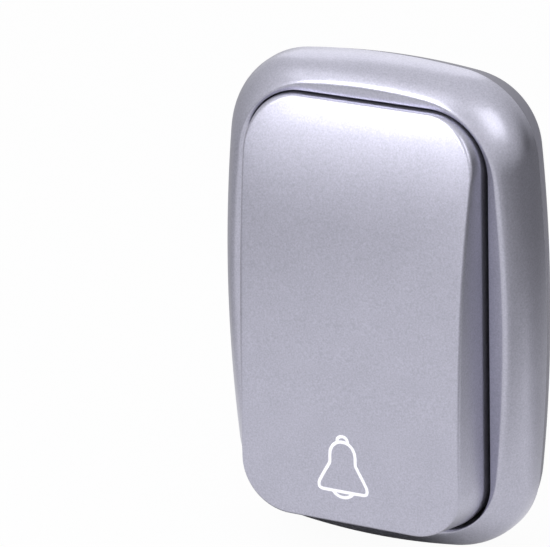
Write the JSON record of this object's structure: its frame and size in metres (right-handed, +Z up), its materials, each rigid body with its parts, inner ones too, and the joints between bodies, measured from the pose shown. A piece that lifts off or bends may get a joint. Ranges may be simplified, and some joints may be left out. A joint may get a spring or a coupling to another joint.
{
  "type": "wireless doorbell button",
  "caption": "Wall-mounted wireless doorbell button: a big rocker plate hinged at the top in a rounded rectangular rim, with a small press-powered generator and radio board inside.",
  "frame": {"origin": "centre of the foam pad's back face, on the wall", "axes": "+Z up the wall, -Y out of the wall towards the person, +X to the right seen from the front"},
  "size_m": [0.0582, 0.0244, 0.0856],
  "materials": {
    "rocker_paint": "satin metallic lilac-grey lacquer on a moulded shell",
    "frame_paint": "satin metallic lilac-grey lacquer on a moulded rim",
    "cover_plastic": "fine matte moulded grey",
    "plate_plastic": "plain moulded light grey",
    "chassis_plastic": "matte black",
    "generator_plastic": "natural off-white",
    "foam": "closed-cell white foam tape",
    "seal_rubber": "soft matte",
    "steel": "plain bright steel",
    "spring_steel": "drawn wire",
    "zinc_screws": "zinc plated",
    "soft_iron": "dull annealed iron",
    "magnet_coating": "nickel plate",
    "copper": "enamelled copper wire",
    "board_laminate": "green lacquered laminate",
    "chip_plastic": "black moulding compound",
    "capacitor_sleeve": "shrink sleeve",
    "ceramic": "fired ceramic blocks"
  },
  "bodies": {
    "wall_plate": {"wall_plate": "plate_plastic", "adhesive_pad": "foam"},
    "housing": {"rear_cover": "cover_plastic", "housing_gasket": "seal_rubber", "front_frame": "frame_paint", "frame_screws": "zinc_screws", "cover_screws": "zinc_screws", "chassis": "chassis_plastic", "hinge_pin": "steel", "bumper_pads": "seal_rubber", "return_springs": "spring_steel", "seal_membrane": "seal_rubber", "circuit_board": "board_laminate", "board_screws": "zinc_screws", "generator_case": "generator_plastic", "lower_yoke": "soft_iron", "upper_yoke": "soft_iron", "magnets": "magnet_coating", "coil_bobbin": "generator_plastic", "coil_winding": "copper", "coil_terminals": "steel", "lever_pin": "steel", "radio_chip": "chip_plastic", "crystal": "magnet_coating", "storage_capacitor": "capacitor_sleeve", "rectifier_diodes": "chip_plastic", "chip_passives": "ceramic", "antenna_coil": "copper"},
    "rocker": {"rocker_cover": "rocker_paint"},
    "lever": {"generator_lever": "generator_plastic", "leaf_spring": "spring_steel"},
    "armature": {"armature": "soft_iron"}
  },
  "joints": [
    {"name": "housing_release", "type": "slide", "parent": "wall_plate", "child": "housing", "axis": [0, 0, 1], "range_m": [0, 0.0027]},
    {"name": "button_tilt", "type": "hinge", "parent": "housing", "child": "rocker", "pos_m": [0, -0.0142, 0.0315], "axis": [1, 0, 0], "range_deg": [0, 3.2], "stiffness_Nm_per_rad": 3, "springref_deg": -1.72, "deforming": ["return_springs", "seal_membrane"]},
    {"name": "lever_tilt", "type": "hinge", "parent": "housing", "child": "lever", "pos_m": [0, -0.0119, 0.0102], "axis": [1, 0, 0], "range_deg": [0, 5.2], "deforming": ["leaf_spring"]},
    {"name": "armature_flip", "type": "hinge", "parent": "housing", "child": "armature", "pos_m": [0, -0.0104, 0.0028], "axis": [1, 0, 0], "range_deg": [0, 3.9]}
  ],
  "couplings": [
    {"joint": "lever_tilt", "follows": "button_tilt", "ratio": 1.5933},
    {"joint": "armature_flip", "follows": "button_tilt", "ratio": 1.1875}
  ]
}
